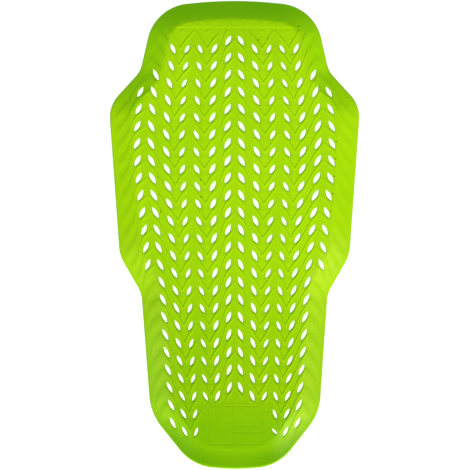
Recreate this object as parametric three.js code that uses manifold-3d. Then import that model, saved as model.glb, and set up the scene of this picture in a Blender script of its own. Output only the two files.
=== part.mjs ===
// Back protector insert: a perforated soft pad moulded in one piece, which slides into the back pocket of a jacket.
// Millimetres. +X is toward one shoulder, +Y toward the neck, +Z away from the wearer. The pad lies on its rim with
// the side that faces out uppermost, as it would lie on a table.
import * as THREE from "three";
import { mergeVertices } from "three/addons/utils/BufferGeometryUtils.js";
import Module from "manifold-3d";

const wasm = await Module();
wasm.setup();

// Outline. The half widths are those of the sharp corners, before they are rounded.
const LENGTH = 450;
const NECK_TOP_HALF = 76.5;
const NECK_BASE_HALF = 90.5;
const SHOULDER_HALF = 120.8;
const WAIST_HALF = 110.4;
const LOIN_HALF = 89.4;
const TAIL_HALF = 80.9;
const TIP_HALF = 40.8;

// Section. The rim falls away all round from the crease where the perforated field ends.
const THICKNESS = 10;
const CREASE_THICKNESS = 8;
const EDGE_THICKNESS = 3.5;
const EDGE_ROUND = 1;
const RIM_WIDTH = 19.5;
const RIM_FALL = 6.9;
const RIM_BULGE = 0.58;
const CROWN = 5.5;
const FOOT_WIDTH = 4;

// Lengthwise form. The crown flattens toward the neck, and the tail sweeps up away from the loins. The tail's last
// edge has no falling rim.
const NECK_FLATTENED = 0.65;
const NECK_FLAT_END = 0.14;
const FLARE_RISE = 28;
const FLARE_START = 0.54;
const TAIL_RISE = 12.4;
const TAIL_RISE_START = 0.87;
const TAIL_RISE_END = 1;

// Field: rows of leaf-shaped holes under raised chevron lips. The rows widen a little down the pad.
const FIELD_HALF = 97.8;
const FIELD_STEP = 0.25;
const FIRST_ROW = 38.7;
const ROW_PITCH = 16.4;
const ROW_STRETCH = 0.00073;
const HOLE_LENGTH = 10.6;
const HOLE_WIDTH = 4.2;
const HOLE_SHOULDER = 0.3;
const LIP_HEIGHT = 0.8;
const LIP_RUN = 0.11;
const LIPS_FROM = 26.8;
const LIPS_TO = 418;

// Smooth plate at the tail, with a plain frame of grooves in it. Places are distances from the top edge.
const PLATE_HALF = 30;
const PLATE_FROM = 386.8;
const FRAME_FROM = 390;
const FRAME_WIDTH = 51.4;
const FRAME_LENGTH = 35.9;
const FRAME_LINE = 1.2;
const FRAME_DEPTH = 0.4;
const FRAME_DIVIDER = -2.5;
const FRAME_RUNGS = [18.5, 24.8];

// Fineness of the surfaces.
const ARC_STEP = THREE.MathUtils.degToRad(14);
const EDGE_STEP = 32;
const FRAME_STEPS = 4;
const MEET = 0.3;
const BED = 1.5;
const BURIED = 3;
const CLEAR_OF_PAD = 80;

// Sharp corners of the right half of the outline, from neck to tail: half width, then distance from the top edge and
// radius of the rounded corner, both as shares of the length.
const CORNERS = [
  { half: 0, down: -0.0032, round: 0.856 },
  { half: NECK_TOP_HALF, down: 0.0137, round: 0.0967 },
  { half: NECK_BASE_HALF, down: 0.1511, round: 0.0533 },
  { half: SHOULDER_HALF, down: 0.225, round: 0.0702 },
  { half: WAIST_HALF, down: 0.5448, round: 0.0809 },
  { half: LOIN_HALF, down: 0.6257, round: 0.0622 },
  { half: TAIL_HALF, down: 0.8808, round: 0.1133 },
  { half: TIP_HALF, down: 0.9914, round: 0.1022 },
  { half: 0, down: 0.9982, round: 0.367 },
];

// How wide the field's pattern spreads at each section, as a share of its width at the chest.
const SPREAD = [
  { down: 0, share: 0.83 },
  { down: 0.12, share: 0.914 },
  { down: 0.2, share: 0.97 },
  { down: 0.28, share: 1 },
  { down: 0.36, share: 0.991 },
  { down: 0.48, share: 0.934 },
  { down: 0.6, share: 0.874 },
  { down: 0.75, share: 0.815 },
  { down: 0.92, share: 0.737 },
  { down: 1, share: 0.7 },
];

// One chevron line: place across as a share of the field's half width, and how many rows it has fallen there.
const ZIGZAG = [
  { across: 0, fall: 0 },
  { across: 0.298, fall: 2.65 },
  { across: 0.446, fall: 1.46 },
  { across: 0.595, fall: 2.65 },
  { across: 0.885, fall: 0.04 },
  { across: 1.25, fall: 3.1 },
];
const ZIGZAG_START = -0.2;

// Columns of holes on one side: place across, lean of the leaf in degrees, first and last row, and size as a share
// of the full hole. Every second chevron is pierced.
const COLUMNS = [
  { across: 0.0698, lean: 32, first: 0, last: 20, size: 1 },
  { across: 0.22, lean: 30, first: 1.5, last: 20.5, size: 1 },
  { across: 0.3765, lean: -30, first: 1.5, last: 20.5, size: 0.88 },
  { across: 0.517, lean: 29, first: 1.5, last: 22.5, size: 0.88 },
  { across: 0.6705, lean: -30, first: 1.5, last: 22.5, size: 1 },
  { across: 0.815, lean: -31, first: 2, last: 22, size: 1 },
];
const ROWS_BETWEEN_HOLES = 2;

const downOf = (y) => (LENGTH / 2 - y) / LENGTH;

// A table's share at a distance down the pad, smooth from row to row.
function shareAt(rows, down) {
  const last = rows.length - 2;
  const found = rows.findLastIndex((row) => row.down <= down);
  const i = THREE.MathUtils.clamp(found, 0, last);
  const before = rows[Math.max(i - 1, 0)];
  const a = rows[i];
  const b = rows[i + 1];
  const after = rows[Math.min(i + 2, last + 1)];
  const run = b.down - a.down;
  const t = THREE.MathUtils.clamp((down - a.down) / run, 0, 1);
  const leaving = ((b.share - before.share) / (b.down - before.down)) * run;
  const arriving = ((after.share - a.share) / (after.down - a.down)) * run;
  const back = 1 - t;
  return (
    back * back * ((1 + 2 * t) * a.share + t * leaving) +
    t * t * ((1 + 2 * back) * b.share - back * arriving)
  );
}

// How far the tail's sweep lifts the pad.
function sweep(y) {
  const past = Math.max(0, (downOf(y) - FLARE_START) / (1 - FLARE_START));
  return FLARE_RISE * past * past;
}

// 1 on the pad's middle line at the chest, falling to 0 at the side of the field and to less at the neck.
function crownShare(x, y) {
  const q = x / (FIELD_HALF * shareAt(SPREAD, downOf(y)));
  const toNeck = 1 - THREE.MathUtils.smoothstep(downOf(y), 0, NECK_FLAT_END);
  return (1 - q * q) * (1 - NECK_FLATTENED * toNeck);
}

const CREASE_HEIGHT = EDGE_THICKNESS + RIM_FALL;
const topHeight = (x, y) => sweep(y) + CREASE_HEIGHT + CROWN * crownShare(x, y);

function underHeight(x, y) {
  const hollow = CROWN - (THICKNESS - CREASE_THICKNESS);
  return sweep(y) + CREASE_HEIGHT - CREASE_THICKNESS + hollow * crownShare(x, y);
}

// Underside of the rim at its very edge: flat on the table down to where the tail sweeps up.
function edgeHeight(y) {
  return sweep(y) + TAIL_RISE * THREE.MathUtils.smoothstep(downOf(y), TAIL_RISE_START, TAIL_RISE_END);
}

// The whole outline's corners, clockwise from the middle of the top edge, with what each one's arc needs.
function outlineCorners() {
  const right = CORNERS.map((c) => ({
    sharp: new THREE.Vector2(c.half, LENGTH / 2 - c.down * LENGTH),
    round: c.round * LENGTH,
  }));
  const mirrored = right.slice(1, -1).reverse();
  const left = mirrored.map((c) => ({ sharp: new THREE.Vector2(-c.sharp.x, c.sharp.y), round: c.round }));
  const corners = [...right, ...left];
  corners.forEach((corner, i) => {
    const before = corners.at(i - 1).sharp;
    const after = corners[(i + 1) % corners.length].sharp;
    corner.arriving = corner.sharp.clone().sub(before);
    corner.leaving = after.clone().sub(corner.sharp);
    const room = 0.49 * Math.min(corner.arriving.length(), corner.leaving.length());
    corner.arriving.normalize();
    corner.leaving.normalize();
    corner.turn = Math.atan2(
      corner.leaving.cross(corner.arriving),
      corner.leaving.dot(corner.arriving),
    );
    corner.slack = Math.tan(Math.abs(corner.turn) / 2);
    corner.round = Math.min(corner.round, room / corner.slack);
    corner.steps = Math.max(2, Math.ceil(Math.abs(corner.turn) / ARC_STEP));
  });
  return corners;
}

const OUTLINE = outlineCorners();

const rightHandOf = (direction) => new THREE.Vector2(direction.y, -direction.x);

// The rounded corner's points on the outline moved inward by inset.
function cornerArc(corner, inset) {
  const inwardA = rightHandOf(corner.arriving);
  const inwardB = rightHandOf(corner.leaving);
  const convex = Math.sign(corner.turn);
  const round = Math.max(corner.round - convex * inset, EDGE_ROUND);
  const mitre = inset / (1 + inwardA.dot(inwardB));
  const sharp = corner.sharp.clone().addScaledVector(inwardA.clone().add(inwardB), mitre);
  const start = sharp.clone().addScaledVector(corner.arriving, -round * corner.slack);
  const centre = start.clone().addScaledVector(inwardA, convex * round);
  const points = [];
  for (let k = 0; k <= corner.steps; k++) {
    points.push(start.clone().rotateAround(centre, (-corner.turn * k) / corner.steps));
  }
  return points;
}

const STRAIGHT_STEPS = OUTLINE.map((corner, i) => {
  const next = OUTLINE[(i + 1) % OUTLINE.length];
  const run = cornerArc(corner, 0).at(-1).distanceTo(cornerArc(next, 0)[0]);
  return Math.max(1, Math.ceil(run / EDGE_STEP));
});

// The outline moved inward by inset. Every such ring has the same number of points, so that rings join one to one.
function outlineRing(inset) {
  const arcs = OUTLINE.map((corner) => cornerArc(corner, inset));
  return arcs.flatMap((arc, i) => {
    const next = arcs[(i + 1) % arcs.length][0];
    const straight = [];
    for (let k = 1; k < STRAIGHT_STEPS[i]; k++) {
      straight.push(arc.at(-1).clone().lerp(next, k / STRAIGHT_STEPS[i]));
    }
    return [...arc, ...straight];
  });
}

// A closed solid from a geometry, with its shared corners merged and faces of no area left out.
function solidOf(geometry) {
  const bare = new THREE.BufferGeometry().setAttribute("position", geometry.getAttribute("position"));
  bare.setIndex(geometry.index);
  const merged = mergeVertices(bare, 1e-4);
  const index = merged.index.array;
  const faces = [];
  for (let i = 0; i < index.length; i += 3) {
    const [a, b, c] = index.slice(i, i + 3);
    if (a !== b && b !== c && c !== a) faces.push(a, b, c);
  }
  return new wasm.Manifold(
    new wasm.Mesh({
      numProp: 3,
      vertProperties: merged.getAttribute("position").array,
      triVerts: new Uint32Array(faces),
    }),
  );
}

function geometryOf(points, faces) {
  const geometry = new THREE.BufferGeometry().setFromPoints(points);
  geometry.setIndex(faces);
  return geometry;
}

// Joins rings of matched points, from the middle of one side over the edge to the middle of the other.
function loftRings(rings) {
  const count = rings[0].length;
  const faces = [];
  for (let r = 0; r + 1 < rings.length; r++) {
    for (let k = 0; k < count; k++) {
      const a = r * count + k;
      const b = r * count + ((k + 1) % count);
      faces.push(a, b, b + count, a, b + count, a + count);
    }
  }
  return solidOf(geometryOf(rings.flat(), faces));
}

// A solid under a net of points. The net runs down the pad in i and toward +X in j, raise gives each point's height
// over the pad's own surface, and the solid reaches down to foot below that surface.
function netSolid(rows, columns, place, raise, foot) {
  const top = [];
  const under = [];
  for (let i = 0; i < rows; i++) {
    for (let j = 0; j < columns; j++) {
      const { x, y } = place(i, j);
      const height = topHeight(x, y);
      top.push(new THREE.Vector3(x, y, height + raise(x, y, i)));
      under.push(new THREE.Vector3(x, y, height - foot));
    }
  }
  const size = rows * columns;
  const faces = [];
  const quad = (a, b, c, d) => faces.push(a, b, c, a, c, d);
  for (let i = 0; i + 1 < rows; i++) {
    for (let j = 0; j + 1 < columns; j++) {
      const a = i * columns + j;
      quad(a, a + columns, a + columns + 1, a + 1);
      quad(a + size, a + size + 1, a + size + columns + 1, a + size + columns);
    }
    const left = i * columns;
    const right = left + columns - 1;
    quad(left, left + size, left + size + columns, left + columns);
    quad(right, right + columns, right + columns + size, right + size);
  }
  const end = size - columns;
  for (let j = 0; j + 1 < columns; j++) {
    quad(j, j + 1, j + 1 + size, j + size);
    quad(end + j, end + j + size, end + j + 1 + size, end + j + 1);
  }
  return solidOf(geometryOf([...top, ...under], faces));
}

// The pad without its field: rim, underside, and a bed that the field fills.
function padBody() {
  const edge = outlineRing(0);
  const crease = outlineRing(RIM_WIDTH);
  const bed = outlineRing(RIM_WIDTH + EDGE_ROUND);
  const lift = (ring, height) => ring.map(({ x, y }) => new THREE.Vector3(x, y, height(x, y)));
  const narrowed = (ring, share) => ring.map(({ x, y }) => new THREE.Vector2(x * share, y));
  const bedHeight = (x, y) => topHeight(x, y) - BED;
  const edgeTop = lift(outlineRing(EDGE_ROUND), (x, y) => edgeHeight(y) + EDGE_THICKNESS);
  const creaseTop = lift(crease, topHeight);
  const slope = lift(outlineRing(RIM_WIDTH / 2), () => 0);
  slope.forEach((point, k) => {
    point.z = THREE.MathUtils.lerp(edgeTop[k].z, creaseTop[k].z, RIM_BULGE);
  });
  return loftRings([
    lift(narrowed(bed, 0), bedHeight),
    lift(narrowed(bed, 0.5), bedHeight),
    lift(bed, bedHeight),
    creaseTop,
    slope,
    edgeTop,
    lift(edge, (x, y) => edgeHeight(y) + EDGE_THICKNESS / 2),
    lift(outlineRing(EDGE_ROUND), (x, y) => edgeHeight(y)),
    lift(outlineRing(FOOT_WIDTH), (x, y) => edgeHeight(y)),
    lift(crease, underHeight),
    lift(narrowed(crease, 0.5), underHeight),
    lift(narrowed(crease, 0), underHeight),
  ]);
}

// Upright prism on a ring of points, higher and lower than the pad.
function prismOn(ring) {
  const geometry = new THREE.ExtrudeGeometry(new THREE.Shape(ring), {
    depth: 2 * CLEAR_OF_PAD,
    bevelEnabled: false,
  });
  geometry.translate(0, 0, -CLEAR_OF_PAD);
  return solidOf(geometry);
}

const rowHeight = (row) => LENGTH / 2 - FIRST_ROW - ROW_PITCH * row * (1 + ROW_STRETCH * row);

// Chevron lips stop at the border under the neck edge, at the plate and at the tail.
function hasLips(x, y) {
  const from = LENGTH / 2 - y;
  const onPlate = Math.abs(x) < PLATE_HALF && from > PLATE_FROM;
  return from > LIPS_FROM && from < LIPS_TO && !onPlate;
}

// The field's surface. Each chevron line is a foot and a crest, and behind the crest it slopes back to the next foot.
function field() {
  const columns = [...ZIGZAG.slice(1).reverse(), ...ZIGZAG];
  const side = (j) => (j < ZIGZAG.length - 1 ? -1 : 1);
  const mostFall = Math.max(...ZIGZAG.map((c) => c.fall));
  const firstRow = Math.floor(-FIRST_ROW / ROW_PITCH - mostFall);
  const lastRow = Math.ceil((LENGTH - FIRST_ROW) / ROW_PITCH);
  const rowCount = 2 * (lastRow - firstRow);
  const place = (i, j) => {
    const row = firstRow + Math.floor(i / 2) + (i % 2) * LIP_RUN + ZIGZAG_START + columns[j].fall;
    const y = rowHeight(row);
    const x = side(j) * columns[j].across * FIELD_HALF * shareAt(SPREAD, downOf(y));
    return { x, y };
  };
  const raise = (x, y, i) => FIELD_STEP + (i % 2 && hasLips(x, y) ? LIP_HEIGHT : 0);
  const surface = netSolid(rowCount, columns.length, place, raise, BURIED);
  return surface.intersect(prismOn(outlineRing(RIM_WIDTH - MEET)));
}

// What is taken out for one groove of the frame, between two points given as distance across and from the top edge.
function frameGroove(across0, from0, across1, from1) {
  const start = new THREE.Vector2(across0, LENGTH / 2 - from0);
  const end = new THREE.Vector2(across1, LENGTH / 2 - from1);
  const half = FRAME_LINE / 2;
  const lengthwise = across0 === across1;
  const place = (i, j) => {
    const point = start.clone().lerp(end, (lengthwise ? i : j) / FRAME_STEPS);
    if (lengthwise) return { x: point.x + (j ? half : -half), y: point.y };
    return { x: point.x, y: point.y + (i ? -half : half) };
  };
  const rows = lengthwise ? FRAME_STEPS + 1 : 2;
  const columns = lengthwise ? 2 : FRAME_STEPS + 1;
  return netSolid(rows, columns, place, () => FIELD_STEP + MEET, FRAME_DEPTH - FIELD_STEP);
}

function frameGrooves() {
  const side = FRAME_WIDTH / 2;
  const end = FRAME_FROM + FRAME_LENGTH;
  const corner = side + FRAME_LINE / 2;
  const rungs = FRAME_RUNGS.map((from) =>
    frameGroove(FRAME_DIVIDER, FRAME_FROM + from, side, FRAME_FROM + from),
  );
  return [
    frameGroove(-corner, FRAME_FROM, corner, FRAME_FROM),
    frameGroove(-corner, end, corner, end),
    frameGroove(-side, FRAME_FROM, -side, end),
    frameGroove(side, FRAME_FROM, side, end),
    frameGroove(FRAME_DIVIDER, FRAME_FROM, FRAME_DIVIDER, end),
    ...rungs,
  ];
}

// Upright prism of one leaf-shaped hole, pointed at both ends.
function leafPrism(column, row, side) {
  const length = HOLE_LENGTH * column.size;
  const width = HOLE_WIDTH * column.size;
  const shoulder = length * (0.5 - HOLE_SHOULDER);
  const y = rowHeight(row);
  const centre = new THREE.Vector2(side * column.across * FIELD_HALF * shareAt(SPREAD, downOf(y)), y);
  const turn = THREE.MathUtils.degToRad(side * column.lean);
  const leaf = [
    new THREE.Vector2(0, length / 2),
    new THREE.Vector2(-width / 2, shoulder),
    new THREE.Vector2(-width / 2, -shoulder),
    new THREE.Vector2(0, -length / 2),
    new THREE.Vector2(width / 2, -shoulder),
    new THREE.Vector2(width / 2, shoulder),
  ];
  return prismOn(leaf.map((point) => point.rotateAround(new THREE.Vector2(), turn).add(centre)));
}

function leafPrisms() {
  const prisms = [];
  for (const column of COLUMNS) {
    for (let row = column.first; row <= column.last; row += ROWS_BETWEEN_HOLES) {
      prisms.push(leafPrism(column, row, -1), leafPrism(column, row, 1));
    }
  }
  return prisms;
}

const joined = padBody().add(field());
const cuts = [...frameGrooves(), ...leafPrisms()].reduce((whole, cut) => whole.add(cut));
const pierced = joined.subtract(cuts);
const mesh = pierced.getMesh();

const geometry = new THREE.BufferGeometry();
geometry.setAttribute("position", new THREE.BufferAttribute(mesh.vertProperties, 3));
geometry.setIndex(new THREE.BufferAttribute(mesh.triVerts, 1));
geometry.computeBoundingBox();

const pad = new THREE.Mesh(
  geometry,
  new THREE.MeshStandardMaterial({ color: 0x9bdd06, roughness: 0.55, metalness: 0, flatShading: true }),
);
pad.name = "pad";
pad.position.y = -(geometry.boundingBox.max.y + geometry.boundingBox.min.y) / 2;

const insert = new THREE.Group();
insert.add(pad);

export default insert;
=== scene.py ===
from cmath import exp, phase
from collections import namedtuple
from math import ceil, hypot, pi, radians, tan

import bmesh
import bpy
import numpy as np
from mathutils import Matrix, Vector
from mathutils.geometry import delaunay_2d_cdt


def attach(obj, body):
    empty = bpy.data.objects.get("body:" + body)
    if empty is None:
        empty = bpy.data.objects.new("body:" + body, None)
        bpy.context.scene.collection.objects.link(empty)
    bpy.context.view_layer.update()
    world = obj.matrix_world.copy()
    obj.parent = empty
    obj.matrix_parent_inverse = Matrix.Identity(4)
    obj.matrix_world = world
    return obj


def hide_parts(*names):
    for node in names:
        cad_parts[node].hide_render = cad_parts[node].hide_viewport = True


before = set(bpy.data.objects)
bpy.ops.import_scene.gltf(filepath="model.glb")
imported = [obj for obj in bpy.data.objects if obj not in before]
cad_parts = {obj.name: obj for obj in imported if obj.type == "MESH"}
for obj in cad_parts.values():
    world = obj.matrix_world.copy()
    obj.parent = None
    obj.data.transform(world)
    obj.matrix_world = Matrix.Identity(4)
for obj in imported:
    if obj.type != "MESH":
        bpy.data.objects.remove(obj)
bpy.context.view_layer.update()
MM = 0.001

# Outline of the pad. The real one is a slab of soft foam, cut by the rim of its mould: narrow at the neck,
# widest at the shoulder blades and tapered over the loins to a blunt tail. Points are complex numbers.
LENGTH = 450
EDGE_ROUND = 1
STEP = 2.4
ARC_STEP = radians(4)
CORNER_ROOM = 0.49
POINTS_AT_ONCE = 2000

Corner = namedtuple("Corner", "half down round")
CORNERS = (
    Corner(half=0, down=-0.0032, round=385),
    Corner(half=76.5, down=0.0137, round=43.5),
    Corner(half=90.5, down=0.1511, round=24),
    Corner(half=120.8, down=0.225, round=31.6),
    Corner(half=110.4, down=0.5448, round=36.4),
    Corner(half=89.4, down=0.6257, round=28),
    Corner(half=80.9, down=0.8808, round=51),
    Corner(half=40.8, down=0.9914, round=46),
    Corner(half=0, down=0.9982, round=165),
)
Bend = namedtuple("Bend", "sharp arriving leaving turn slack round steps")


def outline_bends():
    """The whole outline's corners, clockwise from the middle of the neck edge."""
    right = [(complex(c.half, LENGTH * (0.5 - c.down)), c.round) for c in CORNERS]
    left = [(-sharp.conjugate(), round_) for sharp, round_ in reversed(right[1:-1])]
    whole = right + left
    bends = []
    for k, (sharp, round_) in enumerate(whole):
        arriving = sharp - whole[k - 1][0]
        leaving = whole[(k + 1) % len(whole)][0] - sharp
        room = CORNER_ROOM * min(abs(arriving), abs(leaving))
        arriving /= abs(arriving)
        leaving /= abs(leaving)
        turn = phase(arriving * leaving.conjugate())
        slack = tan(abs(turn) / 2)
        round_ = min(round_, room / slack)
        steps = max(2, ceil(abs(turn) / ARC_STEP), ceil(abs(turn) * round_ / STEP))
        bends.append(Bend(sharp, arriving, leaving, turn, slack, round_, steps))
    return bends


BENDS = outline_bends()


def bend_arc(bend, inset):
    """The rounded corner's points on the outline moved inward by inset."""
    inward_a = -1j * bend.arriving
    inward_b = -1j * bend.leaving
    convex = 1 if bend.turn > 0 else -1
    round_ = max(bend.round - convex * inset, EDGE_ROUND)
    mitre = inset / (1 + (inward_a * inward_b.conjugate()).real)
    sharp = bend.sharp + (inward_a + inward_b) * mitre
    start = sharp - bend.arriving * round_ * bend.slack
    centre = start + inward_a * convex * round_
    turns = [exp(-1j * bend.turn * k / bend.steps) for k in range(bend.steps + 1)]
    return [centre + (start - centre) * turn for turn in turns]


def outline_ring(inset):
    """The outline moved inward by inset, with as many points at every inset."""
    plain = [bend_arc(bend, 0) for bend in BENDS]
    arcs = [bend_arc(bend, inset) for bend in BENDS]
    ring = []
    for k, arc in enumerate(arcs):
        following = (k + 1) % len(arcs)
        steps = max(1, ceil(abs(plain[following][0] - plain[k][-1]) / STEP))
        straight = [arc[-1] + (arcs[following][0] - arc[-1]) * s / steps for s in range(1, steps)]
        ring += arc + straight
    return np.array(ring)


OUTLINE = outline_ring(0)


def inset_of(points):
    """How far each point lies inside the outline; outside it is negative."""
    run = np.roll(OUTLINE, -1) - OUTLINE
    found = []
    for part in np.array_split(points, 1 + len(points) // POINTS_AT_ONCE):
        off = part[:, None] - OUTLINE
        along = np.clip((off * run.conj()).real / abs(run) ** 2, 0, 1)
        gap = off - along * run
        nearest = abs(gap).argmin(axis=1)
        pick = np.arange(len(part)), nearest
        side = np.sign((run.conj()[nearest] * gap[pick]).imag)
        found.append(-side * abs(gap[pick]))
    return np.concatenate(found)


# Form of the pad: a shallow crown over a hollow for the back, a rim that falls away to a thin edge from the
# crease round the perforated field, and a tail that sweeps up off the loins. It comes from the mould as one
# thick sheet.
THICKNESS = 10
CREASE_THICKNESS = 8
EDGE_THICKNESS = 3.5
NECK_EDGE = 2
RIM_WIDTH = 19.5
NECK_RIM_WIDTH = 16.8
RIM_FALL = 6.9
RIM_BULGE = 0.24
CROWN = 5.5
FOOT_WIDTH = 4
FLARE_RISE = 28
FLARE_START = 0.54
TAIL_RISE = 12.4
TAIL_RISE_SPAN = (0.87, 1)
NECK_SPAN = (0, 0.1)
NECK_FLATTENED = 0.65
NECK_FLAT_SPAN = (0, 0.14)
FIELD_HALF = 97.8
CREASE_HEIGHT = EDGE_THICKNESS + RIM_FALL
HOLLOW = CROWN - (THICKNESS - CREASE_THICKNESS)

# How wide the field's pattern spreads down the pad, as a share of its width at the chest.
Place = namedtuple("Place", "at value")
SPREAD = (
    Place(at=0, value=0.83),
    Place(at=0.12, value=0.914),
    Place(at=0.2, value=0.97),
    Place(at=0.28, value=1),
    Place(at=0.36, value=0.991),
    Place(at=0.48, value=0.934),
    Place(at=0.6, value=0.874),
    Place(at=0.75, value=0.815),
    Place(at=0.92, value=0.737),
    Place(at=1, value=0.7),
)


def smooth(table, at):
    """A table's value at each place, smooth from row to row."""
    places, values = np.array(table, float).T
    i = np.clip(np.searchsorted(places, at, side="right") - 1, 0, len(places) - 2)
    before = np.maximum(i - 1, 0)
    after = np.minimum(i + 2, len(places) - 1)
    run = places[i + 1] - places[i]
    t = np.clip((at - places[i]) / run, 0, 1)
    leaving = (values[i + 1] - values[before]) / (places[i + 1] - places[before]) * run
    arriving = (values[after] - values[i]) / (places[after] - places[i]) * run
    back = 1 - t
    start = back**2 * ((1 + 2 * t) * values[i] + t * leaving)
    return start + t**2 * ((1 + 2 * back) * values[i + 1] - back * arriving)


def ramp(value, low, high):
    """0 below low, 1 above high and smooth between them."""
    t = np.clip((value - low) / (high - low), 0, 1)
    return t * t * (3 - 2 * t)


def down_of(points):
    return 0.5 - points.imag / LENGTH


def spread_at(points):
    return smooth(SPREAD, down_of(points))


def sweep(points):
    past = np.maximum(0, (down_of(points) - FLARE_START) / (1 - FLARE_START))
    return FLARE_RISE * past**2


def crown_share(points):
    """1 on the middle line at the chest, 0 at the side of the field and less at the neck."""
    flattened = NECK_FLATTENED * (1 - ramp(down_of(points), *NECK_FLAT_SPAN))
    return (1 - (points.real / (FIELD_HALF * spread_at(points))) ** 2) * (1 - flattened)


def edge_height(points):
    return sweep(points) + TAIL_RISE * ramp(down_of(points), *TAIL_RISE_SPAN)


def edge_thickness(points):
    return NECK_EDGE + (EDGE_THICKNESS - NECK_EDGE) * ramp(down_of(points), *NECK_SPAN)


def rim_width(points):
    return NECK_RIM_WIDTH + (RIM_WIDTH - NECK_RIM_WIDTH) * ramp(down_of(points), *NECK_SPAN)


def edge_bulge(inset):
    """Half-round profile of the very edge: 0 on the outline, 1 from the rounding's width inward."""
    return np.sqrt(1 - (1 - np.clip(inset / EDGE_ROUND, 0, 1)) ** 2)


def top_form(points, inset):
    crown = sweep(points) + CREASE_HEIGHT + CROWN * crown_share(points)
    half = edge_thickness(points) / 2
    edge = edge_height(points) + half + half * edge_bulge(inset)
    t = np.clip((inset - EDGE_ROUND) / (rim_width(points) - EDGE_ROUND), 0, 1)
    return edge + (crown - edge) * (t + RIM_BULGE * t * (1 - t))


def under_form(points, inset):
    vault = sweep(points) + CREASE_HEIGHT - CREASE_THICKNESS + HOLLOW * crown_share(points)
    half = edge_thickness(points) / 2
    edge = edge_height(points) + half - half * edge_bulge(inset)
    t = np.clip((inset - FOOT_WIDTH) / (RIM_WIDTH - FOOT_WIDTH), 0, 1)
    return edge + (vault - edge) * t


# Chevron lips: low zigzag ridges moulded across the field, sharper on the side toward the neck. Over the
# rim they soften to one shallow wave a row, and they stop at a border under the neck and at the tail.
FIRST_ROW = 38.7
ROW_PITCH = 16.4
ROW_STRETCH = 0.00073
LINE_START = -0.17
LIPS_FROM = 29
LIPS_FROM_FADE = (-0.5, 1)
LIPS_TO = (404, 426)
LIP_FADE = (10, 18)
RIM_WAVE = 0.19
RIM_WAVE_CREST = 0.35
RIM_WAVE_IN = (2, 8)
RIM_WAVE_OUT = (16, 20)
PLATE_HALF = 30
PLATE_FROM = 386.3
PLATE_LIPS_FADE = (-1, 1.5)

# One lip from foot to next foot: place as a share of a row, and height.
LIP_PROFILE = (
    Place(at=0, value=-0.1),
    Place(at=0.09, value=0.32),
    Place(at=0.13, value=0.42),
    Place(at=0.19, value=0.38),
    Place(at=0.28, value=0.03),
    Place(at=0.33, value=0),
    Place(at=0.95, value=0),
    Place(at=1, value=-0.1),
)

# The zigzag's arms on one side: place across as a share of the field's half width, how many rows it has
# fallen there, and the lip's share of its height. The arms hug the lower side of each hole and fade where
# they meet in a peak.
Knee = namedtuple("Knee", "across fall height")
ARMS = (
    (
        Knee(across=0, fall=0, height=0.3),
        Knee(across=0.012, fall=0.04, height=0.3),
        Knee(across=0.045, fall=0.27, height=0.9),
        Knee(across=0.087, fall=0.49, height=1),
        Knee(across=0.11, fall=0.7, height=0.8),
        Knee(across=0.17, fall=1.6, height=0.5),
        Knee(across=0.195, fall=1.78, height=0.8),
        Knee(across=0.229, fall=1.95, height=1),
        Knee(across=0.298, fall=2.52, height=0.9),
    ),
    (
        Knee(across=0.298, fall=2.52, height=0.9),
        Knee(across=0.3765, fall=1.92, height=1),
        Knee(across=0.434, fall=1.45, height=0.4),
        Knee(across=0.446, fall=1.4, height=0.3),
    ),
    (
        Knee(across=0.446, fall=1.4, height=0.3),
        Knee(across=0.458, fall=1.46, height=0.4),
        Knee(across=0.494, fall=1.78, height=0.9),
        Knee(across=0.5325, fall=1.97, height=1),
        Knee(across=0.595, fall=2.52, height=0.9),
    ),
    (
        Knee(across=0.595, fall=2.52, height=0.9),
        Knee(across=0.64, fall=2.07, height=1),
        Knee(across=0.68, fall=1.82, height=1),
        Knee(across=0.717, fall=1.48, height=0.9),
        Knee(across=0.79, fall=0.63, height=0.9),
        Knee(across=0.824, fall=0.42, height=1),
        Knee(across=0.862, fall=0.06, height=0.5),
        Knee(across=0.874, fall=0.02, height=0.3),
    ),
    (
        Knee(across=0.874, fall=0.02, height=0.3),
        Knee(across=0.886, fall=0.06, height=0.4),
        Knee(across=0.932, fall=0.27, height=0.9),
        Knee(across=0.97, fall=0.46, height=0.8),
        Knee(across=1.01, fall=0.85, height=0.5),
        Knee(across=1.055, fall=1.5, height=0.3),
        Knee(across=1.124, fall=2, height=0.2),
        Knee(across=1.3, fall=3.3, height=0),
    ),
)


def row_height(row):
    return LENGTH / 2 - FIRST_ROW - ROW_PITCH * row * (1 + ROW_STRETCH * row)


def row_of(height):
    """The row, with its fraction, at a height on the pad."""
    pitches = (LENGTH / 2 - FIRST_ROW - height) / ROW_PITCH
    return (np.sqrt(1 + 4 * ROW_STRETCH * pitches) - 1) / (2 * ROW_STRETCH)


def along_arms(across, column):
    """The lines' fall, or the lip's share of its height, at each place across."""
    values = np.zeros(len(across))
    for arm in ARMS:
        on_arm = across >= arm[0].across
        values[on_arm] = smooth([(knee.across, getattr(knee, column)) for knee in arm], across[on_arm])
    return values


def lip_stations():
    """Places across the pad where each line has a point, from one side to the other."""
    half = []
    for arm in ARMS:
        across = (arm[-1].across - arm[0].across) * FIELD_HALF
        down = (arm[-1].fall - arm[0].fall) * ROW_PITCH
        steps = ceil(hypot(across, down) / STEP)
        half += list(np.linspace(arm[0].across, arm[-1].across, steps + 1)[1:])
    half = np.array(half)
    return np.concatenate([-half[::-1], [0], half])


def lip_line(row):
    """One line across the pad, at the zigzag's own place in the row."""
    stations = lip_stations()
    heights = row_height(row + LINE_START + along_arms(abs(stations), "fall"))
    level = 1j * heights
    return stations * FIELD_HALF * spread_at(level) + level


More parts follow.
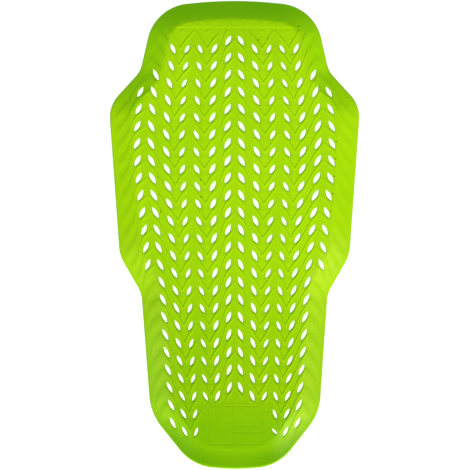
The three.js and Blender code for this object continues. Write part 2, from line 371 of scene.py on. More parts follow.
def lip_lines():
    most_fall = max(knee.fall for arm in ARMS for knee in arm)
    first = int(-FIRST_ROW / ROW_PITCH - most_fall)
    last = ceil((LENGTH - FIRST_ROW) / ROW_PITCH)
    return [lip_line(row + place.at) for row in range(first, last) for place in LIP_PROFILE[:-1]]


def across_of(points):
    return abs(points.real) / (FIELD_HALF * spread_at(points))


def row_phase(points):
    """How many rows each point lies below the topmost line; whole numbers are on the lips' feet."""
    return row_of(points.imag) - LINE_START - along_arms(across_of(points), "fall")


def lined(points):
    """1 where the field is lined, 0 beyond the border, at the tail and on the plate."""
    from_top = LENGTH / 2 - points.imag
    start, whole = LIPS_FROM_FADE
    below_border = ramp(from_top, LIPS_FROM + start, LIPS_FROM + whole)
    above_tail = 1 - ramp(from_top, *LIPS_TO)
    beyond_plate = np.maximum(abs(points.real) - PLATE_HALF, PLATE_FROM - from_top)
    off_plate = ramp(beyond_plate, *PLATE_LIPS_FADE)
    return below_border * above_tail * off_plate


def rim_share(inset):
    return ramp(inset, *RIM_WAVE_IN) * (1 - ramp(inset, *RIM_WAVE_OUT))


def lips(points, inset):
    phase_ = row_phase(points)
    places, heights = np.array(LIP_PROFILE, float).T
    share = along_arms(across_of(points), "height") * ramp(inset, *LIP_FADE)
    lip = np.interp(phase_ % 1, places, heights) * share
    wave = RIM_WAVE * np.cos(2 * pi * (phase_ - RIM_WAVE_CREST)) * rim_share(inset)
    return (lip + wave) * lined(points)


# Smooth plate at the tail, raised a little, with a plain frame of fine grooves in it, and a smooth band
# between the neck's crease and the first lips. Both are part of the same moulding. A guard line beside each
# brink in the drawing keeps the brink crisp.
PLATE_RISE = 0.12
PLATE_TO = 428
PLATE_FADE = 12
PLATE_EDGE = 1
GUARD = 0.4
BAND_RISE = 0.2
BAND_SPAN = (17.2, 25.5)
BAND_EDGE = 1.2
BAND_RIM_FADE = 5
BAND_HALF = 60
FRAME_FROM = 389.2
FRAME_WIDTH = 51.4
FRAME_LENGTH = 35.9
FRAME_LINE = 0.3
FRAME_BEVEL = 0.5
FRAME_DEPTH = 0.1
FRAME_DIVIDER = -2.5
FRAME_RUNGS = (18.5, 24.8)


def frame_strokes():
    """The frame's lines, each from one end to the other."""
    side = FRAME_WIDTH / 2
    top = LENGTH / 2 - FRAME_FROM
    foot = top - FRAME_LENGTH
    strokes = [(complex(x, top), complex(x, foot)) for x in (-side, FRAME_DIVIDER, side)]
    strokes += [(complex(-side, y), complex(side, y)) for y in (top, foot)]
    levels = [top - rung for rung in FRAME_RUNGS]
    strokes += [(complex(FRAME_DIVIDER, y), complex(side, y)) for y in levels]
    return strokes


def frame_gap(points):
    """How far each point lies from the nearest line of the frame."""
    gaps = []
    for start, end in frame_strokes():
        run = end - start
        off = points - start
        along = np.clip((off * run.conjugate()).real / abs(run) ** 2, 0, 1)
        gaps.append(abs(off - along * run))
    return np.min(gaps, axis=0)


def frame_relief(points):
    up_the_bevel = (frame_gap(points) - FRAME_LINE / 2) / FRAME_BEVEL
    return -FRAME_DEPTH * np.clip(1 - up_the_bevel, 0, 1)


def frame_drawing():
    """The floor, the brinks and a guard line beside each of the frame's grooves, as closed loops."""
    brink = FRAME_LINE / 2 + FRAME_BEVEL
    loops = []
    for start, end in frame_strokes():
        run = (end - start) / abs(end - start)
        for reach in (FRAME_LINE / 2, brink, brink + GUARD):
            first = start - run * reach
            last = end + run * reach
            aside = 1j * run * reach
            loops.append([first + aside, last + aside, last - aside, first - aside])
    return loops


def plate_relief(points):
    from_top = LENGTH / 2 - points.imag
    inside = np.minimum(PLATE_HALF - abs(points.real), from_top - PLATE_FROM)
    above_tail = 1 - ramp(from_top, PLATE_TO - PLATE_FADE, PLATE_TO)
    return PLATE_RISE * ramp(inside, 0, PLATE_EDGE) * above_tail


def band_relief(points, inset):
    from_top = LENGTH / 2 - points.imag
    above_lips = 1 - ramp(from_top, BAND_SPAN[1], BAND_SPAN[1] + BAND_EDGE)
    off_rim = ramp(inset, NECK_RIM_WIDTH - BAND_RIM_FADE, NECK_RIM_WIDTH)
    return BAND_RISE * ramp(from_top, *BAND_SPAN) * above_lips * off_rim


# Leaf-shaped holes, pierced right through the pad in rows that follow the chevrons, for air to reach the
# back. The mould's pins make them: both ends come to a point, the walls are upright and the skin rolls over
# their edges.
HOLE_ROUND = 0.8
HOLE_LOOPS = (-0.25, 0.3, HOLE_ROUND)
LEAF_STEPS = 8

Hole = namedtuple("Hole", "middle turn length width")
Column = namedtuple("Column", "across way first last length width")
COLUMNS = (
    Column(across=0.0688, way=1, first=0, last=20, length=1.02, width=1.04),
    Column(across=0.2188, way=1, first=0.475, last=20.475, length=0.99, width=1.01),
    Column(across=0.374, way=-1, first=0.5, last=20.5, length=0.87, width=0.88),
    Column(across=0.5165, way=1, first=0.5, last=22.5, length=0.87, width=0.875),
    Column(across=0.67, way=-1, first=0.475, last=22.475, length=1.01, width=0.97),
    Column(across=0.8195, way=-1, first=2, last=22, length=1.09, width=1.01),
    Column(across=0.956, way=1, first=3, last=13, length=1.04, width=1.03),
)

# Down the pad: the holes' length and width, and how far they lean in columns that lean outward or inward,
# in degrees.
HOLE_LENGTHS = (
    Place(at=0.12, value=10.8),
    Place(at=0.22, value=11.4),
    Place(at=0.33, value=11.7),
    Place(at=0.54, value=11.3),
    Place(at=0.86, value=11.1),
    Place(at=0.93, value=10.6),
)
HOLE_WIDTHS = (
    Place(at=0.12, value=3.8),
    Place(at=0.22, value=3.9),
    Place(at=0.33, value=4.2),
    Place(at=0.44, value=4.15),
    Place(at=0.54, value=3.8),
    Place(at=0.65, value=3.65),
    Place(at=0.86, value=3.2),
    Place(at=0.93, value=2.9),
)
OUTWARD_LEAN = (
    Place(at=0.12, value=30),
    Place(at=0.25, value=30.5),
    Place(at=0.37, value=28.5),
    Place(at=0.5, value=25.3),
    Place(at=0.75, value=21.8),
    Place(at=0.9, value=21.3),
)
INWARD_LEAN = (
    Place(at=0.12, value=24.8),
    Place(at=0.25, value=27.2),
    Place(at=0.37, value=31),
    Place(at=0.5, value=30.7),
    Place(at=0.62, value=27.8),
    Place(at=0.9, value=27.8),
)

# The last hole on the right beside the plate is half closed. It is given by its column, row and side, its
# share of the size, its lean and its shift.
CLOSING_AT = (3, 22.5, 1)
CLOSING_SHARE = 0.82
CLOSING_LEAN = 45
CLOSING_SHIFT = complex(0.3, 0.4)


def column_hole(column, row, side):
    level = 1j * row_height(row)
    down = down_of(level)
    lean = column.way * smooth(OUTWARD_LEAN if column.way > 0 else INWARD_LEAN, down)
    middle = side * column.across * FIELD_HALF * spread_at(level) + level
    length = column.length * smooth(HOLE_LENGTHS, down)
    width = column.width * smooth(HOLE_WIDTHS, down)
    if (COLUMNS.index(column), row, side) == CLOSING_AT:
        length *= CLOSING_SHARE
        width *= CLOSING_SHARE
        return Hole(middle + CLOSING_SHIFT, radians(CLOSING_LEAN), length, width)
    return Hole(middle, radians(side * lean), length, width)


HOLES = [
    column_hole(column, row, side)
    for column in COLUMNS
    for row in np.arange(column.first, column.last + 1)
    for side in (-1, 1)
]


def leaf_loop(hole, gap):
    """The hole's outline moved outward by gap: two arcs that meet in points."""
    half_length = hole.length / 2
    half_width = hole.width / 2
    slope = 2 * half_width / half_length
    side = []
    for share in np.linspace(-1, 1, LEAF_STEPS + 1)[1:-1]:
        outward = complex(1, slope * share)
        at = complex(half_width * (1 - share**2), half_length * share)
        side.append(at + gap * outward / abs(outward))
    tip = 1j * (half_length + gap * hypot(1, slope) / slope)
    loop = [-tip] + side + [tip] + [-point.conjugate() for point in side[::-1]]
    loop = [point for point in loop if abs(point.imag) <= abs(tip)]
    return [hole.middle + point * exp(1j * hole.turn) for point in loop]


def hole_gaps(points):
    """How far each point lies outside the nearest hole's outline; inside a hole it is negative."""
    middle, turn, length, width = np.array(HOLES).T
    half_length = length.real / 2
    half_width = width.real / 2
    gaps = []
    for part in np.array_split(points, 1 + len(points) // POINTS_AT_ONCE):
        local = (part[:, None] - middle) * np.exp(-1j * turn)
        share = abs(local.imag) / half_length
        gap = abs(local.real) - half_width * (1 - share**2)
        gaps.append((gap / np.hypot(1, 2 * half_width / half_length * share)).min(axis=1))
    return np.concatenate(gaps)


def hole_rounding(points):
    """How far the skin has rolled down at the holes' edges."""
    short = 1 - np.clip(hole_gaps(points) / HOLE_ROUND, 0, 1)
    return HOLE_ROUND * (1 - np.sqrt(1 - short**2))


def top_height(points, inset):
    plate = plate_relief(points) + frame_relief(points)
    raised = lips(points, inset) + band_relief(points, inset) + plate
    return top_form(points, inset) + raised - hole_rounding(points)


# The moulding: every line of the pad is drawn flat, the drawing is cut into triangles, and each point is
# lifted to the height of the top or of the underside. The two sheets meet along the outline.
RIM_RINGS = (0, 0.08, 0.35, 1, 2.5, 4.5, 7, 9.5, 12, 14.5, 17, 19.5, 22)
UNDER_RINGS = (0, 0.08, 0.35, 1, 4, 8, 12, 16, 19.5)
UNDER_STEP = 8
CLEAR_OF_EDGE = 1.8
WELD = 0.02
MERGE = 0.001


def open_runs(line):
    """The stretches of a line that lie inside the rim's edge."""
    inside = inset_of(line) > CLEAR_OF_EDGE
    breaks = np.flatnonzero(np.diff(inside)) + 1
    runs = zip(np.split(line, breaks), np.split(inside, breaks))
    return [run for run, kept in runs if len(run) > 1 and kept[0]]


def level_line(half, from_top):
    """A line straight across the pad at a distance from the neck edge."""
    steps = ceil(2 * half / STEP)
    return np.linspace(-half, half, steps + 1) + 1j * (LENGTH / 2 - from_top)


def long_line(across, from_top, to):
    """A line down the pad, from one distance from the neck edge to another."""
    steps = ceil((to - from_top) / STEP)
    return across + 1j * (LENGTH / 2 - np.linspace(from_top, to, steps + 1))


def cut_up(rings, lines, loose):
    """The drawing's points and its triangles, counter-clockwise."""
    points = []
    edges = []
    for closed, group in ((True, rings), (False, lines)):
        for line in group:
            first = len(points)
            points += [Vector((p.real, p.imag)) for p in line]
            edges += [(first + k, first + k + 1) for k in range(len(line) - 1)]
            if closed:
                edges.append((len(points) - 1, first))
    points += [Vector((p.real, p.imag)) for p in loose]
    corners, _, faces, *_ = delaunay_2d_cdt(points, edges, [], 1, MERGE)
    flat = np.array([complex(*corner) for corner in corners])
    triangles = np.array(faces)
    a, b, c = flat[triangles.T]
    clockwise = ((b - a).conj() * (c - a)).imag < 0
    triangles[clockwise] = triangles[clockwise][:, ::-1]
    return flat, triangles


def top_sheet():
    rings = [outline_ring(inset) for inset in RIM_RINGS] + frame_drawing()
    rings += [leaf_loop(hole, gap) for hole in HOLES for gap in HOLE_LOOPS]
    lines = lip_lines()
    for off in (-GUARD, 0, BAND_EDGE, BAND_EDGE + GUARD):
        lines.append(level_line(BAND_HALF, BAND_SPAN[1] + off))
    lines += [level_line(BAND_HALF, LIPS_FROM + off) for off in LIPS_FROM_FADE]
    for off in (-GUARD, 0, PLATE_EDGE, PLATE_EDGE + GUARD):
        half = PLATE_HALF - off
        lines.append(level_line(PLATE_HALF, PLATE_FROM + off))
        lines += [long_line(across, PLATE_FROM, PLATE_TO) for across in (-half, half)]
    return cut_up(rings, [run for line in lines for run in open_runs(line)], [])


def under_sheet():
    rings = [outline_ring(inset) for inset in UNDER_RINGS]
    across = np.arange(-LENGTH / 4, LENGTH / 4 + 1, UNDER_STEP)
    along = np.arange(-LENGTH / 2, LENGTH / 2 + 1, UNDER_STEP)
    net = (across[:, None] + 1j * along).ravel()
    return cut_up(rings, [], net[inset_of(net) > RIM_WIDTH + UNDER_STEP / 2])


def moulded_mesh():
    """The pad before it is pierced, and the y of the outline's middle, which the mesh has at 0."""
    top, top_faces = top_sheet()
    under, under_faces = under_sheet()
    flat = np.concatenate([top, under])
    above = top_height(top, inset_of(top))
    below = under_form(under, inset_of(under))
    middle = (OUTLINE.imag.max() + OUTLINE.imag.min()) / 2
    heights = np.concatenate([above, below])
    corners = np.column_stack([flat.real, flat.imag - middle, heights]) * MM
    faces = np.concatenate([top_faces, under_faces[:, ::-1] + len(top)])
    mesh = bpy.data.meshes.new("moulded_pad")
    mesh.from_pydata(corners.tolist(), [], faces.tolist())
    shape = bmesh.new()
    shape.from_mesh(mesh)
    bmesh.ops.remove_doubles(shape, verts=shape.verts, dist=WELD * MM)
    shape.to_mesh(mesh)
    shape.free()
    return mesh, middle


pad_mesh, MIDDLE = moulded_mesh()
pad = bpy.data.objects.new("moulded_pad", pad_mesh)
bpy.context.collection.objects.link(pad)

# The mould's pins: one leaf-shaped pin stands on each hole's place and is taken out of the pad. A few
# shallow flecks beside the holes are places where a pin's flash was pulled away.
PIN_SIDES = 20
PIN_HEIGHT = 160
FLECK_LENGTH = 1.8
FLECK_WIDTH = 1.2
FLECK_DEPTH = 1.3

Flecks = namedtuple("Flecks", "column side first last aside above")
FLECK_RUNS = (
    Flecks(column=6, side=1, first=6, last=10, aside=3.8, above=1.7),
    Flecks(column=5, side=-1, first=8, last=10, aside=-5, above=1),
    Flecks(column=2, side=-1, first=8, last=9, aside=-3.4, above=-1.5),
    Flecks(column=4, side=1, first=0, last=0, aside=3, above=13.7),
    Flecks(column=1, side=1, first=0, last=0, aside=3.5, above=0.5),
)


def fleck_pins():
    """The flecks as short pins, each with the height that its foot stands at."""
    pins = []
    for run in FLECK_RUNS:
        for row in range(run.first, run.last + 1):
            beside = column_hole(COLUMNS[run.column], row, run.side)
            spot = beside.middle + complex(run.side * run.aside, run.above)
            flat = np.array([spot])
            foot = float(top_height(flat, inset_of(flat))[0]) - FLECK_DEPTH
            pins.append((Hole(spot, beside.turn, FLECK_LENGTH, FLECK_WIDTH), foot))
    return pins


def pin_cloud():
    """Bare points that carry the pins' turns, lengths and widths."""
    pins = [(hole, -PIN_HEIGHT / 2) for hole in HOLES] + fleck_pins()
    places = [(pin.middle.real * MM, (pin.middle.imag - MIDDLE) * MM, foot * MM) for pin, foot in pins]
    mesh = bpy.data.meshes.new("pin_places")
    mesh.from_pydata(places, [], [])
    for name in ("turn", "length", "width"):
        scale = 1 if name == "turn" else MM
        values = [getattr(pin, name) * scale for pin, _ in pins]
        mesh.attributes.new(name, "FLOAT", "POINT").data.foreach_set("value", values)
    cloud = bpy.data.objects.new("pin_places", mesh)
    bpy.context.collection.objects.link(cloud)
    return cloud


def live_socket(sockets, name):
    """The socket of that name or number, among those that the node's settings leave in use."""
    return next(socket for k, socket in enumerate(sockets) if socket.enabled and name in (socket.name, k))


def tree_node(tree, kind, settings=None, inputs=None):
    """A node with its settings, and with values or links on its sockets."""
    node = tree.nodes.new(kind)
    for name, value in (settings or {}).items():
        setattr(node, name, value)
    for name, value in (inputs or {}).items():
        if isinstance(value, bpy.types.NodeSocket):
            tree.links.new(value, live_socket(node.inputs, name))
        else:
            live_socket(node.inputs, name).default_value = value
    return node


def piercing_tree():
    """Geometry Nodes: takes leaf-shaped pins, stood at given points, out of the pad."""
    tree = bpy.data.node_groups.new("leaf_piercing", "GeometryNodeTree")
    tree.interface.new_socket("Geometry", in_out="OUTPUT", socket_type="NodeSocketGeometry")
    for name, kind in (
        ("Geometry", "NodeSocketGeometry"),
        ("Places", "NodeSocketObject"),
        ("Pin Height", "NodeSocketFloat"),
        ("Sides", "NodeSocketInt"),
        ("Sharp Angle", "NodeSocketFloat"),
        ("Foam", "NodeSocketMaterial"),
    ):
        tree.interface.new_socket(name, in_out="INPUT", socket_type=kind)
    group = tree.nodes.new("NodeGroupInput").outputs

    def node(kind, settings=None, inputs=None):
        return tree_node(tree, kind, settings, inputs)

    def maths(operation, *numbers):
        return node("ShaderNodeMath", {"operation": operation}, dict(enumerate(numbers))).outputs[0]

    pin = node(
        "GeometryNodeMeshCylinder",
        {"fill_type": "NGON"},
        {"Vertices": group["Sides"], "Radius": 0.5, "Depth": group["Pin Height"]},
    )
    spot = node("GeometryNodeInputPosition")
    parts = node("ShaderNodeSeparateXYZ", {}, {0: spot.outputs[0]}).outputs
    leaf_x = maths("MULTIPLY", maths("MULTIPLY", parts["X"], maths("ABSOLUTE", parts["X"])), 2)
    stood_z = maths("ADD", parts["Z"], maths("MULTIPLY", group["Pin Height"], 0.5))
    leaf_spot = node("ShaderNodeCombineXYZ", {}, {"X": leaf_x, "Y": parts["Y"], "Z": stood_z})
    leaf = node(
        "GeometryNodeSetPosition",
        {},
        {"Geometry": pin.outputs["Mesh"], "Position": leaf_spot.outputs[0]},
    )
    cloud = node("GeometryNodeObjectInfo", {}, {"Object": group["Places"]})
    turn, length, width = (
        node("GeometryNodeInputNamedAttribute", {"data_type": "FLOAT"}, {"Name": name}).outputs["Attribute"]
        for name in ("turn", "length", "width")
    )
    spin = node("ShaderNodeCombineXYZ", {}, {"Z": turn})
    scale = node("ShaderNodeCombineXYZ", {}, {"X": width, "Y": length, "Z": 1.0})
    stood = node(
        "GeometryNodeInstanceOnPoints",
        {},
        {
            "Points": cloud.outputs["Geometry"],
            "Instance": leaf.outputs["Geometry"],
            "Rotation": spin.outputs[0],
            "Scale": scale.outputs[0],
        },
    )
    pins = node("GeometryNodeRealizeInstances", {}, {"Geometry": stood.outputs["Instances"]})
    pierced = node(
        "GeometryNodeMeshBoolean",
        {"operation": "DIFFERENCE", "solver": "MANIFOLD"},
        {"Mesh 1": group["Geometry"], "Mesh 2": pins.outputs["Geometry"]},
    )
    rounded = node(
        "GeometryNodeSetShadeSmooth",
        {"domain": "FACE"},
        {"Geometry": pierced.outputs["Mesh"], "Shade Smooth": True},
    )
    angle = node("GeometryNodeInputMeshEdgeAngle")
    gentle = node(
        "FunctionNodeCompare",
        {"data_type": "FLOAT", "operation": "LESS_THAN"},
        {"A": angle.outputs["Unsigned Angle"], "B": group["Sharp Angle"]},
    )
    edged = node(
        "GeometryNodeSetShadeSmooth",
        {"domain": "EDGE"},
        {"Geometry": rounded.outputs[0], "Shade Smooth": gentle.outputs["Result"]},
    )
    whole = node("GeometryNodeRealizeInstances", {}, {"Geometry": edged.outputs[0]})
    finished = node(
        "GeometryNodeSetMaterial",
        {},
        {"Geometry": whole.outputs[0], "Material": group["Foam"]},
    )
    node("NodeGroupOutput", {}, {"Geometry": finished.outputs[0]})
    return tree


# Foam: lime closed-cell rubber foam with the dull, finely grained skin of its mould. The colour runs a
# little between yellow and green. Painted shade makes it darker and greener over the tail and the rim
# around the neck, and painted sheen lightens the rims from the waist down.
LIME = (0.385, 0.715, 0.0015, 1)
DEEP_LIME = (0.335, 0.675, 0.001, 1)
# Painted shade: a darker, greener lime for the tail and the rim around the neck.
SHADE_GREEN = (0.3, 0.685, 0.001, 1)
# Painted sheen: a paler lime that lightens the rims toward the tail.
SHEEN_LIME = (0.5, 0.95, 0.03, 1)
SHADE_TAIL = (0.83, 0.94)
SHADE_NECK = (0.1, 0.25)
SHADE_RIM = (12, 21)
NECK_SHADE_TONE = 0.65
SHADE_SHARE = 0.9
# Painted shade along the holes' edges, the outline and the frame's grooves.
EDGE_SHADE_LIME = (0.2, 0.42, 0.002, 1)
EDGE_SHADE_SHARE = 0.4
EDGE_SHADE_WIDTH = 1
GROOVE_SHADE = 0.45
# Painted sheen: a pale yellow laid in streaks along the rims.
STREAK_SHEEN = (1, 0.92, 0.35, 1)
SHEEN_STREAK_WIDTH = (1, 4, 18, 28)
SHEEN_BESIDE = (30, 50)
STREAK_MEAN = 0.7
STREAK_SWING = 0.3
STREAK_CREST = RIM_WAVE_CREST + 0.25

# How much painted sheen, a pale yellow, lies in streaks along the rims, down the pad.
STREAK_SHEEN_RIGHT = (
    Place(at=0.48, value=0),
    Place(at=0.56, value=0.09),
    Place(at=0.62, value=0.06),
    Place(at=0.7, value=0.05),
    Place(at=0.84, value=0.07),
    Place(at=0.92, value=0.14),
    Place(at=1, value=0.02),
)
STREAK_SHEEN_LEFT = (
    Place(at=0.48, value=0),
    Place(at=0.56, value=0.03),
    Place(at=0.7, value=0.05),
    Place(at=0.84, value=0.06),
    Place(at=0.91, value=0.01),
    Place(at=0.99, value=0),
)

# How much painted sheen lightens the rims near the tail, down the pad, and how that fades inward.
TAIL_SHEEN_RIGHT = (
    Place(at=0.8, value=0),
    Place(at=0.88, value=0.15),
    Place(at=0.92, value=0.55),
    Place(at=0.96, value=0.6),
    Place(at=1, value=0.3),
)
TAIL_SHEEN_LEFT = (
    Place(at=0.66, value=0),
    Place(at=0.74, value=0.25),
    Place(at=0.95, value=0.3),
    Place(at=1, value=0.1),
)
TAIL_SHEEN_WIDTH = (10, 24)


def streak_sheen_of(points, inset):
    """Painted sheen: streaks of painted highlight along the rims from the waist down, stronger on the
    right.
    """
    from_edge, whole, fading, gone = SHEEN_STREAK_WIDTH
    along_rim = ramp(inset, from_edge, whole) * (1 - ramp(inset, fading, gone))
    streaks = STREAK_MEAN + STREAK_SWING * np.cos(2 * pi * (row_phase(points) - STREAK_CREST))
    down = down_of(points)
    beside = ramp(abs(points.real), *SHEEN_BESIDE)
    streak_sheen = np.where(points.real > 0, smooth(STREAK_SHEEN_RIGHT, down), smooth(STREAK_SHEEN_LEFT, down))
    return streak_sheen * along_rim * beside * streaks


def painted_shade_of(points, inset):
    """Painted shade, darker and greener: all of the tail, and less so the rim around the neck."""
    down = down_of(points)
    neck = NECK_SHADE_TONE * (1 - ramp(down, *SHADE_NECK)) * (1 - ramp(inset, *SHADE_RIM))
    return np.maximum(ramp(down, *SHADE_TAIL), neck)


def tail_sheen_of(points, inset):
    """Painted sheen that lightens the rims' colour toward the tail."""
    down = down_of(points)
    side = np.where(points.real > 0, smooth(TAIL_SHEEN_RIGHT, down), smooth(TAIL_SHEEN_LEFT, down))
    return side * (1 - ramp(inset, *TAIL_SHEEN_WIDTH)) * ramp(abs(points.real), *SHEEN_BESIDE)


def edge_shade(points, inset):
    """Painted shade: 1 on the holes' edges and the outline, less in the frame's grooves, 0 a little way
    off.
    """
    gap = np.minimum(abs(hole_gaps(points)), abs(inset))
    brink = FRAME_LINE / 2 + FRAME_BEVEL
    grooves = GROOVE_SHADE * (1 - np.clip(frame_gap(points) / brink, 0, 1))
    return np.maximum(1 - np.clip(gap / EDGE_SHADE_WIDTH, 0, 1), grooves)


def mark_skin(mesh):
    """Writes the skin's painted sheen and painted shade on the mesh's points, each as an attribute of its
    own.
    """
    spots = np.empty(len(mesh.vertices) * 3, np.float32)
    mesh.vertices.foreach_get("co", spots)
    x, y, _ = spots.reshape(-1, 3).T.astype(float) / MM
    points = x + 1j * (y + MIDDLE)
    inset = inset_of(points)
    for name, tone in (("streak_sheen", streak_sheen_of), ("green", painted_shade_of), ("pale", tail_sheen_of), ("edge", edge_shade)):
        values = tone(points, inset).astype(np.float32)
        mesh.attributes.new(name, "FLOAT", "POINT").data.foreach_set("value", values)


# The skin's unevenness, from broad clouds to a fine grain, each with its share of the colour's run.
Noise = namedtuple("Noise", "scale detail")
CLOUDS = Noise(scale=18, detail=3)
MOTTLE = Noise(scale=160, detail=2)
GRAIN = Noise(scale=900, detail=2)
CLOUD_SHARE = 0.55
MOTTLE_SHARE = 0.25
GRAIN_SHARE = 0.2
RUN_SPAN = (0.36, 0.62)
SHEEN_MOTTLE = 0.5
FOAM_ROUGH = 0.5
GRAIN_ROUGH = 0.12
FOAM_SHINE = 0.05
BUMP_STRENGTH = 0.25
BUMP_HEIGHT = 0.0004
MOTTLE_BUMP = 0.6


class Finish:
    """A material whose nodes are written as expressions."""

    def __init__(self, name):
        self.material = bpy.data.materials.new(name)
        self.material.use_nodes = True
        self.tree = self.material.node_tree
        self.surface = self.tree.nodes["Principled BSDF"]

    def node(self, kind, settings=None, inputs=None):
        plain = {key: getattr(value, "socket", value) for key, value in (inputs or {}).items()}
        return tree_node(self.tree, kind, settings, plain)

    def number(self, kind, settings=None, inputs=None, output=0):
        return Number(self, self.node(kind, settings, inputs).outputs[output])

    def blend(self, share, first, second):
        """The first colour where share is 0 and the second where it is 1."""
        colours = {"Factor": share, "A": first, "B": second}
        mixed = self.node("ShaderNodeMix", {"data_type": "RGBA"}, colours)
        return live_socket(mixed.outputs, "Result")


class Number:
    """A shader number. Sums with it add their own Math nodes."""

    def __init__(self, finish, socket):
        self.finish = finish
        self.socket = socket

    def maths(self, operation, first, second):
        return self.finish.number("ShaderNodeMath", {"operation": operation}, {0: first, 1: second})

    def __add__(self, other):
        return self.maths("ADD", self, other)

    def __mul__(self, other):
        return self.maths("MULTIPLY", self, other)

    __radd__ = __add__
    __rmul__ = __mul__


def foam():
    finish = Finish("moulded_foam")
    place = finish.node("ShaderNodeTexCoord").outputs["Object"]

    def unevenness(noise):
        sizes = {"Vector": place, "Scale": noise.scale, "Detail": noise.detail}
        return finish.number("ShaderNodeTexNoise", {}, sizes)

    cloudy = unevenness(CLOUDS)
    mottle = unevenness(MOTTLE)
    grain = unevenness(GRAIN)
    shade = CLOUD_SHARE * cloudy + MOTTLE_SHARE * mottle + GRAIN_SHARE * grain
    span = {"Value": shade, "From Min": RUN_SPAN[0], "From Max": RUN_SPAN[1]}
    run = finish.number("ShaderNodeMapRange", {}, span)
    # Read from the mesh: streaks of painted sheen, painted shade at the tail and neck, painted sheen toward
    # the tail and painted shade at the edges.
    streak_sheen, green, pale, edge = (
        finish.number("ShaderNodeAttribute", {"attribute_name": name}, {}, "Fac")
        for name in ("streak_sheen", "green", "pale", "edge")
    )
    # Lime from the noise, then painted shade, painted sheen, the edges' painted shade and the streaks of
    # painted sheen.
    lime = finish.blend(SHADE_SHARE * green, finish.blend(run, DEEP_LIME, LIME), SHADE_GREEN)
    skin = finish.blend(EDGE_SHADE_SHARE * edge, finish.blend(pale, lime, SHEEN_LIME), EDGE_SHADE_LIME)
    colour = finish.blend(streak_sheen * (SHEEN_MOTTLE + mottle), skin, STREAK_SHEEN)
    finish.tree.links.new(colour, finish.surface.inputs["Base Color"])
    rough = FOAM_ROUGH + GRAIN_ROUGH * grain
    finish.tree.links.new(rough.socket, finish.surface.inputs["Roughness"])
    finish.surface.inputs["Specular IOR Level"].default_value = FOAM_SHINE
    relief = grain + MOTTLE_BUMP * mottle
    bump = finish.node(
        "ShaderNodeBump",
        {},
        {"Strength": BUMP_STRENGTH, "Distance": BUMP_HEIGHT, "Height": relief},
    )
    finish.tree.links.new(bump.outputs[0], finish.surface.inputs["Normal"])
    return finish.material


# The finished pad comes off its pins in one piece: the holes are cut, the skin's painted sheen and shade
# are written on the mesh, and the soft tail leans a little as it lies.
SHARP_ANGLE = radians(38)
TAIL_LEAN = 0.9
TAIL_LEAN_START = 0.6


def lean_tail(mesh):
    """The soft pad lies with its tail a little to the right."""
    spots = np.empty(len(mesh.vertices) * 3, np.float32)
    mesh.vertices.foreach_get("co", spots)
    spots = spots.reshape(-1, 3)
    beyond = 0.5 - spots[:, 1] / (LENGTH * MM) - TAIL_LEAN_START
    past = np.maximum(0, beyond) / (1 - TAIL_LEAN_START)
    spots[:, 0] += TAIL_LEAN * MM * past**2
    mesh.vertices.foreach_set("co", spots.ravel())


def pierce(piece, tree, values):
    """Runs the piercing on the pad and leaves it a plain mesh."""
    modifier = piece.modifiers.new("piercing", "NODES")
    modifier.node_group = tree
    for item in tree.interface.items_tree:
        if item.in_out == "INPUT" and item.name in values:
            modifier[item.identifier] = values[item.name]
    graph = bpy.context.evaluated_depsgraph_get()
    pierced = bpy.data.meshes.new_from_object(piece.evaluated_get(graph))
    piece.modifiers.remove(modifier)
    piece.data = pierced


cloud = pin_cloud()
pierce(
    pad,
    piercing_tree(),
    {
        "Places": cloud,
        "Pin Height": PIN_HEIGHT * MM,
        "Sides": PIN_SIDES,
        "Sharp Angle": SHARP_ANGLE,
        "Foam": foam(),
    },
)
bpy.data.objects.remove(cloud)
mark_skin(pad.data)
lean_tail(pad.data)
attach(pad, "root")
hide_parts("pad")

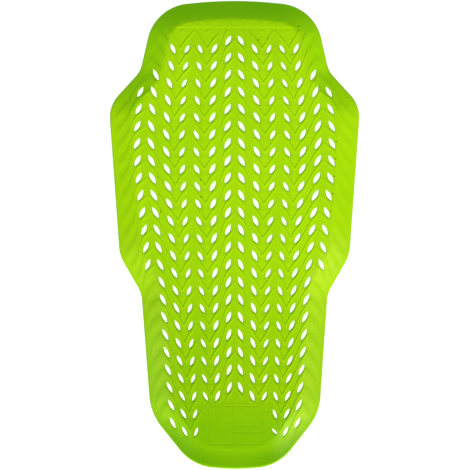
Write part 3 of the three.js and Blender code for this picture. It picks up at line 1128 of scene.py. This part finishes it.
# Table, light and camera: a pale table that glows a little, so that it shows white through the holes, one
# broad soft lamp low on the right of the tail, and an even sky. The camera looks straight down, neck end
# up. Sizes here are in metres, apart from the camera's sensor.
TABLE_SIZE = 16
TABLE_GLOW = 0.92
TABLE_TONE = (0.25, 0.25, 0.25, 1)
TABLE_ROUGH = 0.9
TABLE_SHINE = 0.1
WHITE = (1, 1, 1, 1)
SKY = (0.235, 0.42, 0.35, 1)
SUN_COLOUR = (1.0, 0.75, 0.55)
SUN_TOWARD = Vector((0.18, -0.82, 0.5))
SUN_SPREAD = radians(40)
SUN_SHARE = 1.54
SUN_AWAY = 3
PICTURE_SPAN = 0.4519
CAMERA_ASIDE = (0.0004, -0.0008)
CAMERA_HEIGHT = 6.0
CAMERA_REACH = 50
SENSOR = 36


def table_top():
    half = TABLE_SIZE / 2
    corners = [(-half, -half, 0), (half, -half, 0), (half, half, 0), (-half, half, 0)]
    mesh = bpy.data.meshes.new("table_top")
    mesh.from_pydata(corners, [], [(0, 1, 2, 3)])
    top = bpy.data.objects.new("table_top", mesh)
    bpy.context.collection.objects.link(top)
    finish = Finish("pale_table")
    finish.surface.inputs["Base Color"].default_value = TABLE_TONE
    finish.surface.inputs["Roughness"].default_value = TABLE_ROUGH
    finish.surface.inputs["Specular IOR Level"].default_value = TABLE_SHINE
    finish.surface.inputs["Emission Color"].default_value = WHITE
    finish.surface.inputs["Emission Strength"].default_value = TABLE_GLOW
    mesh.materials.append(finish.material)


def sky():
    world = bpy.data.worlds.new("even_sky")
    world.use_nodes = True
    world.node_tree.nodes["Background"].inputs["Color"].default_value = SKY
    bpy.context.scene.world = world


def lamp():
    light = bpy.data.lights.new("soft_lamp", "SUN")
    light.energy = SUN_SHARE * SUN_TOWARD.length * pi
    light.color = SUN_COLOUR
    light.angle = SUN_SPREAD
    holder = bpy.data.objects.new("soft_lamp", light)
    holder.rotation_mode = "QUATERNION"
    holder.rotation_quaternion = SUN_TOWARD.to_track_quat("Z", "Y")
    holder.location = SUN_TOWARD * SUN_AWAY
    bpy.context.collection.objects.link(holder)


def camera():
    lens = bpy.data.cameras.new("camera")
    lens.sensor_width = SENSOR
    lens.lens = SENSOR * CAMERA_HEIGHT / PICTURE_SPAN
    lens.clip_end = CAMERA_REACH
    holder = bpy.data.objects.new("camera", lens)
    holder.location = (*CAMERA_ASIDE, CAMERA_HEIGHT)
    bpy.context.collection.objects.link(holder)
    bpy.context.scene.camera = holder


table_top()
sky()
lamp()
camera()
bpy.context.scene.view_settings.view_transform = "Standard"
